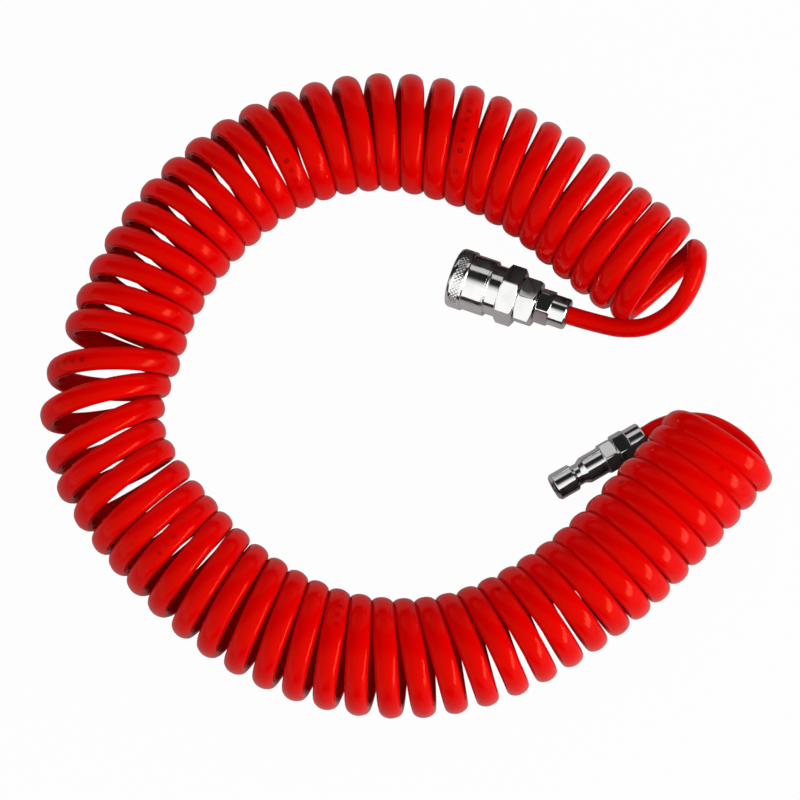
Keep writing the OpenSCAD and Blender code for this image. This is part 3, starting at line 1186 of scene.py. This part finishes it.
@dataclass
class Knurl:
    """A band of crossed grooves around the sleeve's collar."""

    front: float = 2.3
    back: float = 5.9
    count: int = 44
    depth: float = 0.2
    pitch: float = 1.8
    # Half the width of a groove, as a share of the way from one to the next.
    groove: float = 0.22
    fade: float = 0.25
    # Nothing nearer the axis is knurled.
    least_radius: float = 12.0
    columns_per_groove: int = 8

    def columns(self) -> list[float]:
        """Directions that catch the grooves, around the whole band."""
        return even_columns(self.count * self.columns_per_groove)

    def shape(self, z: float, r: float, turn: float) -> float:
        """The radius that is left of r once the band is knurled.

        Args:
            z: A point's place along the axis.
            r: Its radius.
            turn: Its direction, in radians.

        Returns:
            Its new radius.
        """
        inside = min(z - self.front, self.back - z) / self.fade
        if inside <= 0 or r < self.least_radius:
            return r
        cut = 0.0
        for lean in (-1, 1):
            share = (self.count * turn / (2 * math.pi) + lean * (z - self.front) / self.pitch) % 1
            cut = max(cut, 1 - min(share, 1 - share) / self.groove)
        return r - self.depth * min(inside, 1) * cut


@dataclass
class Socket:
    """The quick-release socket on the hose's first end. Places count from its front."""

    mouth_depth: float = 2.95
    collar_diameter: float = 26.2
    collar_length: float = 7.4
    sleeve_diameter: float = 24.7
    sleeve_length: float = 17.2
    lip_diameter: float = 20.8
    cone_front: float = 2.0
    cone_radius: float = 9.95
    land_front: float = 7.05
    land_diameter: float = 17.24
    land_back: float = 9.0
    skirt_diameter: float = 22.1
    barrel_front: float = 0.4
    barrel_diameter: float = 17.1
    groove_diameter: float = 16.16
    groove_front: float = 0.98
    groove_back: float = 1.92
    barrel_bevel: float = 0.3
    mouth_diameter: float = 12.1
    mouth_bevel: float = 0.7
    balls: int = 6
    ball_row: float = 7.0
    ball_hole: float = 1.8
    ball_columns: int = 32
    relief: float = 2.2
    relief_depth: float = 0.3
    packing_front: float = 10.8
    packing_back: float = 14.2
    packing_depth: float = 1.55
    shoulder_front: float = 16.0
    shoulder_diameter: float = 22.0
    valve_seat_front: float = 19.4
    valve_seat_back: float = 21.3
    valve_seat_diameter: float = 10.7
    chamber_diameter: float = 15.2
    spigot_front: float = 26.2
    spigot_diameter: float = 17.2
    spigot_bore: float = 14.0
    spigot_bevel: float = 0.4
    spigot_play: float = 0.1
    spigot_gap: float = 0.2
    spring_seat: float = 33.5
    hex_front: float = 22.1
    hex_back: float = 30.2
    body_flats: float = 23.0
    body_turn: float = -11.0
    adapter_back: float = 38.3
    adapter_flats: float = 19.0
    adapter_turn: float = 5.5
    nut_turn: float = 26.0
    # The collar's rounded front, and the fine line that is cut around the sleeve near its
    # back. Each corner has its distance from that end, how deep it lies and its rounding.
    crown: tuple[Triple, ...] = (
        (0.0, 1.6, 1.2), (0.45, 0.5, 0.8), (1.6, 0.0, 0.9),
    )  # fmt: skip
    rear_line: tuple[Triple, ...] = (
        (1.3, 0.0, 0.15), (1.15, 0.22, 0.08), (0.85, 0.22, 0.08), (0.7, 0.0, 0.15),
    )  # fmt: skip
    tail: HoseTail = field(default_factory=HoseTail)
    nut: HoseNut = field(default_factory=HoseNut)
    knurl: Knurl = field(default_factory=Knurl)

    def build(self, axis: Axis) -> None:
        """Makes the sleeve, the body, the adapter and the nut.

        Args:
            axis: The socket's axis.
        """
        fitting = Plating.FITTING.value.make(axis.along)
        chrome = Plating.SLEEVE.value.make(axis.along)
        place_piece(self._sleeve(axis), "sleeve", "plated_sleeve", chrome, "socket_sleeve")
        place_piece(self._body(axis), "hose", "plated_brass", fitting, "socket_body")
        place_piece(self._adapter(axis), "hose", "plated_brass", fitting, "rear_adapter")
        nut = self.nut.build("socket_nut", axis, self.adapter_back, self.nut_turn)
        place_piece(nut, "hose", "plated_brass", fitting, "socket_hose_nut")

    def _sleeve(self, axis: Axis) -> bpy.types.Object:
        """The sliding sleeve with its knurled collar.

        Args:
            axis: The socket's axis.

        Returns:
            The sleeve.
        """
        collar, sleeve = self.collar_diameter / 2, self.sleeve_diameter / 2
        lip, skirt, land = self.lip_diameter / 2, self.skirt_diameter / 2, self.land_diameter / 2
        band, step, end = self.knurl, self.collar_length, self.sleeve_length
        corners = [
            *(Corner(z, collar - depth, bend) for z, depth, bend in self.crown),
            Corner(band.front - 0.1, collar, steps=30),
            Corner(band.back + 0.1, collar),
            Corner(step - 0.45, collar, 0.2),
            Corner(step - 0.1, sleeve + 0.02, 0.1),
            Corner(step + 0.3, sleeve, 0.1, steps=3),
            *(Corner(end - z, sleeve - depth, bend) for z, depth, bend in self.rear_line),
            Corner(end - 0.35, sleeve, 0.2),
            Corner(end, sleeve - 0.4, 0.2),
            Corner(end, skirt + 0.1, 0.1),
            Corner(end - 0.15, skirt),
            Corner(self.land_back, skirt),
            Corner(self.land_back, land),
            Corner(self.land_front, land),
            Corner(self.cone_front, self.cone_radius),
            Corner(self.cone_front, lip),
            Corner(0.3, lip, 0.1),
            Corner(0.0, lip + 0.3, 0.15),
        ]
        return weigh_normals(turned_piece("sleeve", axis, corners, band.columns(), band.shape))

    def _body(self, axis: Axis) -> bpy.types.Object:
        """The barrel, its shoulder and the large hexagon, bored through.

        Args:
            axis: The socket's axis.

        Returns:
            The body.
        """
        barrel, mouth = self.barrel_diameter / 2, self.mouth_diameter / 2
        shoulder, groove = self.shoulder_diameter / 2, self.groove_diameter / 2
        chamber, seat = self.chamber_diameter / 2, self.valve_seat_diameter / 2
        spigot = self.spigot_diameter / 2 + self.spigot_play
        hexagon = Hexagon(self.hex_front, self.hex_back, self.body_flats, self.body_turn)
        corners = [
            Corner(self.barrel_front, barrel - self.barrel_bevel, 0.1),
            Corner(self.barrel_front + self.barrel_bevel, barrel),
            Corner(self.groove_front, barrel),
            Corner(self.groove_front, groove),
            Corner(self.groove_back, groove),
            Corner(self.groove_back, barrel, steps=2),
            Corner(self.shoulder_front, barrel),
            Corner(self.shoulder_front, shoulder, 0.2),
            Corner(self.hex_front, shoulder, 0.1),
            *hexagon.outline(),
            Corner(self.hex_back, spigot + self.spigot_gap, 0.1),
            Corner(self.hex_back - self.spigot_gap, spigot),
            Corner(self.spigot_front - self.spigot_gap, spigot),
            Corner(self.spigot_front - self.spigot_gap, chamber),
            Corner(self.valve_seat_back, chamber),
            Corner(self.valve_seat_back, seat),
            Corner(self.valve_seat_front, seat),
            Corner(self.valve_seat_front, mouth),
            Corner(self.packing_back, mouth),
            Corner(self.packing_back, mouth + self.packing_depth),
            Corner(self.packing_front, mouth + self.packing_depth),
            Corner(self.packing_front, mouth),
            Corner(self.ball_row + self.relief, mouth),
            Corner(self.ball_row + self.relief, mouth + self.relief_depth),
            Corner(self.ball_row - self.relief, mouth + self.relief_depth),
            Corner(self.ball_row - self.relief, mouth),
            Corner(self.barrel_front + self.mouth_bevel, mouth, 0.3),
            Corner(self.barrel_front, mouth + self.mouth_bevel, 0.3),
        ]
        piece = milled_piece("socket_barrel", axis, corners, hexagon)
        self._drill(piece, axis)
        return weigh_normals(piece)

    def _drill(self, piece: bpy.types.Object, axis: Axis) -> None:
        """Drills the ball holes through the barrel.

        Args:
            piece: The barrel.
            axis: The socket's axis.
        """
        # The drill is longer than the wall is thick, and all but closed on its own axis.
        point, spare = 0.02, 1.0
        for turn in even_columns(self.balls):
            start = axis.point(self.ball_row, self.mouth_diameter / 2 - spare, turn)
            end = axis.point(self.ball_row, self.barrel_diameter / 2 + spare, turn)
            length = (end - start).length / MM
            sides = ((0, point), (0, self.ball_hole), (length, self.ball_hole), (length, point))
            hole = [Corner(z, r) for z, r in sides]
            drill = Axis(start, (end - start).normalized())
            cutter = turned_piece("drill", drill, hole, even_columns(self.ball_columns))
            cut = piece.modifiers.new("ball_hole", "BOOLEAN")
            cut.operation = "DIFFERENCE"
            cut.solver = "EXACT"
            cut.object = cutter
            settle(piece)
            bpy.data.objects.remove(cutter)

    def _adapter(self, axis: Axis) -> bpy.types.Object:
        """The small hexagon with the nut's thread and the tail for the tube.

        Args:
            axis: The socket's axis.

        Returns:
            The adapter.
        """
        spigot, bore = self.spigot_diameter / 2, self.spigot_bore / 2
        hexagon = Hexagon(
            self.hex_back, self.adapter_back, self.adapter_flats, self.adapter_turn, edge=0.4
        )
        corners = [
            Corner(self.spigot_front, spigot - self.spigot_bevel, 0.1),
            Corner(self.spigot_front + self.spigot_bevel, spigot),
            Corner(self.hex_back, spigot),
            *hexagon.outline(),
            *self.tail.outline(self.adapter_back),
            Corner(self.spring_seat, self.tail.airway / 2),
            Corner(self.spring_seat, bore),
            Corner(self.spigot_front, bore),
        ]
        return weigh_normals(milled_piece("adapter", axis, corners, hexagon))


@dataclass
class Plug:
    """The plug on the hose's second end. Places count from the tip of its nose."""

    nose_depth: float = 5.3
    nose_diameter: float = 12.0
    nose_length: float = 9.6
    groove_diameter: float = 9.4
    groove_slope: float = 1.2
    groove_length: float = 2.4
    groove_exit: float = 2.4
    body_length: float = 9.0
    nose_bore: float = 7.2
    nose_bore_length: float = 12.0
    hex_flats: float = 13.0
    hex_length: float = 6.2
    hex_turn: float = 9.0
    nut_turn: float = 14.0
    tail: HoseTail = field(default_factory=HoseTail)
    nut: HoseNut = field(default_factory=HoseNut)

    @property
    def hex_front(self) -> float:
        """Where the hexagon starts."""
        groove = self.groove_slope + self.groove_length + self.groove_exit
        return self.nose_length + groove + self.body_length

    @property
    def hex_back(self) -> float:
        """Where the hexagon ends."""
        return self.hex_front + self.hex_length

    def build(self, axis: Axis) -> list[bpy.types.Object]:
        """Makes the plug's two pieces.

        Args:
            axis: The plug's axis.

        Returns:
            The plug's body and its nut.
        """
        metal = Plating.PLUG.value.make(axis.along)
        body = self._body(axis)
        nut = self.nut.build("plug_nut", axis, self.hex_back, self.nut_turn)
        place_piece(body, "hose", "plated_steel", metal, "plug_body")
        place_piece(nut, "hose", "plated_brass", metal, "plug_hose_nut")
        return [body, nut]

    def _body(self, axis: Axis) -> bpy.types.Object:
        """The nose, the locking groove, the round body and the hexagon.

        Args:
            axis: The plug's axis.

        Returns:
            The body.
        """
        nose, groove, bore = self.nose_diameter / 2, self.groove_diameter / 2, self.nose_bore / 2
        groove_front = self.nose_length + self.groove_slope
        groove_back = groove_front + self.groove_length
        hexagon = Hexagon(
            self.hex_front, self.hex_back, self.hex_flats, self.hex_turn, chamfer=0.6, edge=0.3
        )
        corners = [
            Corner(0.0, nose - 1.0, 0.25),
            Corner(1.0, nose, 0.5, steps=2),
            Corner(self.nose_length, nose, 0.25),
            Corner(groove_front, groove, 0.3),
            Corner(groove_back, groove, 0.5),
            Corner(groove_back + self.groove_exit, nose, 0.3, steps=3),
            Corner(self.hex_front, nose, 0.1),
            *hexagon.outline(),
            *self.tail.outline(self.hex_back),
            Corner(self.nose_bore_length, self.tail.airway / 2),
            Corner(self.nose_bore_length - 1.0, bore, 0.2),
            Corner(0.4, bore, 0.1),
            Corner(0.0, bore + 0.4, 0.15),
        ]
        return weigh_normals(milled_piece("plug", axis, corners, hexagon))


@dataclass
class Spring:
    """A spring of round wire between two seats on the socket's axis, in millimetres."""

    node: str
    body: str
    joint: str
    front: float
    back: float
    radius: float
    turns: float
    wire: float = 0.9
    travel: float = 4.0
    # The coils close up towards the ends by this share.
    closing: float = 0.6
    sides: int = 10
    steps_per_turn: int = 28

    def build(self, axis: Axis, material: bpy.types.Material) -> bpy.types.Object:
        """Makes the spring.

        Args:
            axis: The socket's axis.
            material: What the wire is made of.

        Returns:
            The spring.
        """
        mesh = bmesh.new()
        count = round(self.turns * self.steps_per_turn)
        half = self.wire / 2
        length = self.back - self.front - self.wire
        grid = []
        for k in range(count + 1):
            share, turn = k / count, 2 * math.pi * k / self.steps_per_turn
            along = share - self.closing * math.sin(2 * math.pi * share) / (2 * math.pi)
            row = []
            for around in even_columns(self.sides):
                z = self.front + half + length * along + half * math.sin(around)
                r = self.radius + half * math.cos(around)
                row.append(mesh.verts.new(axis.point(z, r, turn)))
            grid.append(row)
        skin(mesh, grid)
        cap(mesh, grid)
        spring = piece_of(f"{self.node}_wire", mesh)
        place_piece(spring, self.body, "spring_steel", material, self.node)
        seat = tuple(axis.point(self.back))
        keep = 1 - self.travel / (self.back - self.front)
        tuple(axis.along)
        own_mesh(spring)
        return spring


@dataclass
class Insides:
    """The small parts inside the socket."""

    balls: int
    springs: tuple[Spring, ...] = (
        Spring("sleeve_spring", "sleeve_carrier", "sleeve_pull", 9.05, 15.94, 9.8, 2.5),
        Spring("valve_spring", "hose", "valve_push", 23.95, 33.43, 5.0, 4.5),
    )
    wires: tuple[str, ...] = ("sleeve_snap_ring",)
    seals: tuple[str, ...] = ("plug_packing", "valve_seal", "adapter_seal")

    def dress(self, nodes: dict[str, bpy.types.Object], axis: Axis) -> None:
        """Makes the springs, and gives each part that keeps its shape its material.

        Args:
            nodes: The CAD nodes by name.
            axis: The socket's axis.
        """
        wire = Plating.WIRE.value.make(axis.along)
        for spring in self.springs:
            spring.build(axis, wire)
        rubber = RubberFinish().make()
        ball = Plating.BALL.value.make(axis.along)
        finishes = {name: wire for name in self.wires}
        finishes |= {name: rubber for name in self.seals}
        finishes |= {f"locking_ball_{k}": ball for k in range(1, self.balls + 1)}
        finishes["poppet_valve"] = Plating.BRASS.value.make(axis.along)
        for name, material in finishes.items():
            for slot in nodes[name].material_slots:
                slot.material = material
            log.info("%s keeps its shape and gets %s", name, material.name)


# --- The studio --------------------------------------------------------------------


@dataclass
class Studio:
    """A white floor, a long soft box at the right, and a room that is bright in front."""

    aim: Vector = field(default_factory=lambda: Vector((-0.0033, -0.0042, 0.0245)))
    elevation: float = 81.0
    distance: float = 1.0
    lens: float = 106.2
    box_energy: float = 9.6
    box_width: float = 1.10
    box_height: float = 0.32
    box_distance: float = 1.30
    box_turn: float = -26.0
    box_rise: float = 24.0
    floor_size: float = 12.0
    floor_colour: Colour = (0.52, 0.52, 0.52, 1.0)
    floor_glow: float = 0.975
    ceiling: float = 0.66
    # What the room gives from the front, at -1, over the top, at 0, to the back, at 1.
    room: tuple[tuple[float, float], ...] = (
        (-1.0, 0.04), (-0.965, 0.04), (-0.91, 0.65), (-0.84, 1.1), (-0.22, 1.1), (0.0, 0.75),
        (0.14, 0.18), (0.24, 0.02), (0.63, 0.01), (0.68, 0.62), (0.83, 0.60), (0.91, 0.36),
        (1.0, 0.16),
    )  # fmt: skip

    def build(self) -> None:
        """Makes the camera, the lamp, the world and the floor."""
        scene = bpy.context.scene
        scene.view_settings.view_transform = "Standard"
        scene.camera = self._camera()
        self._soft_box()
        self._world(scene)
        self._floor()

    def _camera(self) -> bpy.types.Object:
        """Makes the camera, almost straight above and a little in front.

        Returns:
            The camera.
        """
        data = bpy.data.cameras.new("camera")
        data.lens = self.lens
        data.clip_start, data.clip_end = 0.05, 50.0
        camera = bpy.data.objects.new("camera", data)
        rise = math.radians(self.elevation)
        back = Vector((0, -math.cos(rise), math.sin(rise)))
        camera.location = self.aim + self.distance * back
        camera.rotation_euler = (math.radians(90 - self.elevation), 0, 0)
        bpy.context.scene.collection.objects.link(camera)
        return camera

    def _soft_box(self) -> None:
        """The long soft box, which faces the middle of the hose."""
        data = bpy.data.lights.new("soft_box", "AREA")
        data.shape = "RECTANGLE"
        data.size, data.size_y = self.box_width, self.box_height
        data.energy = self.box_energy
        lamp = bpy.data.objects.new("soft_box", data)
        turn, rise = math.radians(self.box_turn), math.radians(self.box_rise)
        flat = Vector((math.cos(turn), math.sin(turn), 0))
        away = math.cos(rise) * flat + math.sin(rise) * UP
        lamp.location = self.aim + self.box_distance * away
        lamp.rotation_euler = (-away).to_track_quat("-Z", "Y").to_euler()
        bpy.context.scene.collection.objects.link(lamp)

    def _world(self, scene: bpy.types.Scene) -> None:
        """White behind everything, and the room for all that it lights and mirrors.

        Args:
            scene: The scene that gets the world.
        """
        scene.world = bpy.data.worlds.new("studio")
        scene.world.use_nodes = True
        web = Web(scene.world.node_tree)
        glossy = web.add("ShaderNodeLightPath", out="Is Glossy Ray")
        # From 0 in front to 1 behind.
        share = web.add("ShaderNodeTexCoord", out="Generated").dot((0.0, 0.5, 0.0)) + 0.5
        stops = [((place + 1) / 2, (light, light, light, 1.0)) for place, light in self.room]
        ceiling = (self.ceiling, self.ceiling, self.ceiling, 1.0)
        room = web.blend(glossy, ceiling, share.ramp(*stops))
        light = {"Color": web.blend(web.seen(), room, WHITE), "Strength": 1.0}
        web.finish(web.add("ShaderNodeBackground", None, light), "ShaderNodeOutputWorld")

    def _floor(self) -> None:
        """A wide pale floor that keeps a faint shadow."""
        mesh = bmesh.new()
        bmesh.ops.create_grid(mesh, x_segments=2, y_segments=2, size=self.floor_size / 2)
        floor = piece_of("floor", mesh)
        material, web = new_material("white_floor")
        share = web.seen() * self.floor_glow
        plain = web.add("ShaderNodeBsdfDiffuse", None, {"Color": self.floor_colour})
        glow = web.add("ShaderNodeEmission", None, {"Color": WHITE, "Strength": 1.0})
        web.finish(web.add("ShaderNodeMixShader", None, {0: share, 1: plain, 2: glow}))
        floor.data.materials.append(material)


# --- All of it ---------------------------------------------------------------------


def main() -> None:
    """Builds the studio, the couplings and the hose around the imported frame."""
    logging.basicConfig(level=logging.INFO, format="%(name)s: %(message)s")
    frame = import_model()

    Studio().build()
    socket, plug = Socket(), Plug()
    socket_axis = Axis.of_mount(frame["record"], "socket_mouth", socket.mouth_depth)
    plug_axis = Axis.of_mount(frame["record"], "plug_nose", plug.nose_depth)
    plug_pieces = plug.build(plug_axis)
    Hose().build(
        socket.nut.tube_line(socket_axis, socket.adapter_back),
        plug.nut.tube_line(plug_axis, plug.hex_back),
        socket_axis.point(socket.adapter_back + socket.nut.back),
        plug_pieces,
    )
    socket.build(socket_axis)
    Insides(socket.balls).dress(frame["nodes"], socket_axis)


if __name__ == "__main__":
    main()
